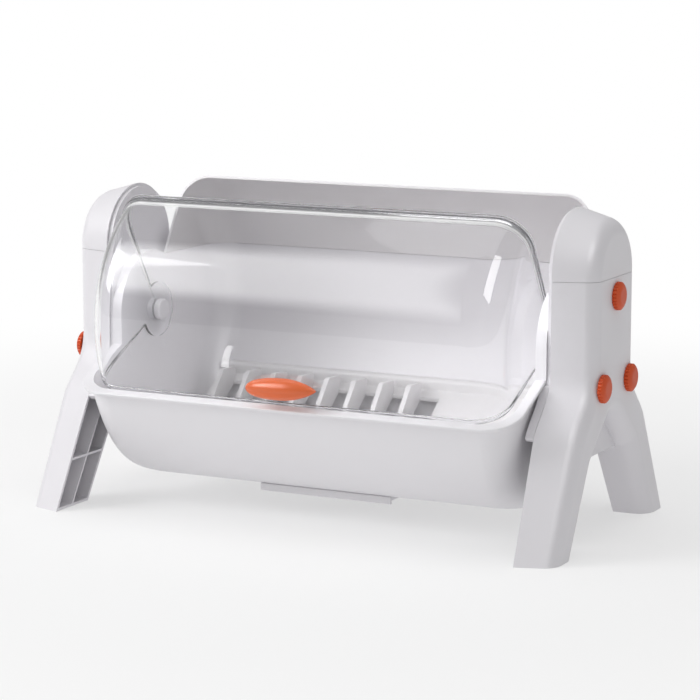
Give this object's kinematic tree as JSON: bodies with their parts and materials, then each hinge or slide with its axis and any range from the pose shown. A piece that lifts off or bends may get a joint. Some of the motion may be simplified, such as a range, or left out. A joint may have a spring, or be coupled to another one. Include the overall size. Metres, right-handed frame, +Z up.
{
  "type": "covered dish drainer",
  "caption": "Drum-shaped dish drainer on two end stands, with a clear lid that rolls back under a white rear cover, a slotted rack and a drip tray.",
  "frame": {"origin": "on the floor, under the middle of the bounding box", "axes": "+X along the drum to the right as seen from the front, -Y towards the front (the lid side), +Z up"},
  "size_m": [0.5186, 0.2766, 0.2824],
  "materials": {
    "white_plastic": "satin white",
    "stand_plastic": "satin white",
    "rack_plastic": "satin white",
    "clear_plastic": "clear, glossy",
    "orange_plastic": "glossy orange",
    "pin_plastic": "smooth white",
    "screw_steel": "plain steel"
  },
  "bodies": {
    "base": {"tub": "white_plastic", "rear_cover": "white_plastic", "rack": "rack_plastic", "right_stand": "stand_plastic", "right_stand_cap": "stand_plastic", "right_inner_panel": "stand_plastic", "right_pivot_pin": "pin_plastic", "right_pivot_bush": "pin_plastic", "left_stand": "stand_plastic", "left_stand_cap": "stand_plastic", "left_inner_panel": "stand_plastic", "left_pivot_pin": "pin_plastic", "left_pivot_bush": "pin_plastic"},
    "lid": {"lid": "clear_plastic", "lid_handle": "orange_plastic", "lid_handle_screws": "screw_steel"},
    "tray": {"drip_tray": "white_plastic"},
    "right_upper_knob": {"right_upper_knob": "orange_plastic"},
    "right_front_knob": {"right_front_knob": "orange_plastic"},
    "right_rear_knob": {"right_rear_knob": "orange_plastic"},
    "left_upper_knob": {"left_upper_knob": "orange_plastic"},
    "left_front_knob": {"left_front_knob": "orange_plastic"},
    "left_rear_knob": {"left_rear_knob": "orange_plastic"}
  },
  "joints": [
    {"name": "lid_hinge", "type": "hinge", "parent": "base", "child": "lid", "pos_m": [0, 0, 0.165], "axis": [-1, 0, 0], "range_deg": [0, 105]},
    {"name": "tray_slide", "type": "slide", "parent": "base", "child": "tray", "axis": [0, -1, 0], "range_m": [0, 0.08]},
    {"name": "right_upper_knob_turn", "type": "hinge", "parent": "base", "child": "right_upper_knob", "pos_m": [0.2533, 0, 0.2068], "axis": [1, 0, 0], "continuous": true},
    {"name": "right_front_knob_turn", "type": "hinge", "parent": "base", "child": "right_front_knob", "pos_m": [0.2533, -0.0308, 0.1325], "axis": [1, 0, 0], "continuous": true},
    {"name": "right_rear_knob_turn", "type": "hinge", "parent": "base", "child": "right_rear_knob", "pos_m": [0.2533, 0.0308, 0.1325], "axis": [1, 0, 0], "continuous": true},
    {"name": "left_upper_knob_turn", "type": "hinge", "parent": "base", "child": "left_upper_knob", "pos_m": [-0.2533, 0, 0.2068], "axis": [-1, 0, 0], "continuous": true},
    {"name": "left_front_knob_turn", "type": "hinge", "parent": "base", "child": "left_front_knob", "pos_m": [-0.2533, -0.0308, 0.1325], "axis": [-1, 0, 0], "continuous": true},
    {"name": "left_rear_knob_turn", "type": "hinge", "parent": "base", "child": "left_rear_knob", "pos_m": [-0.2533, 0.0308, 0.1325], "axis": [-1, 0, 0], "continuous": true}
  ]
}
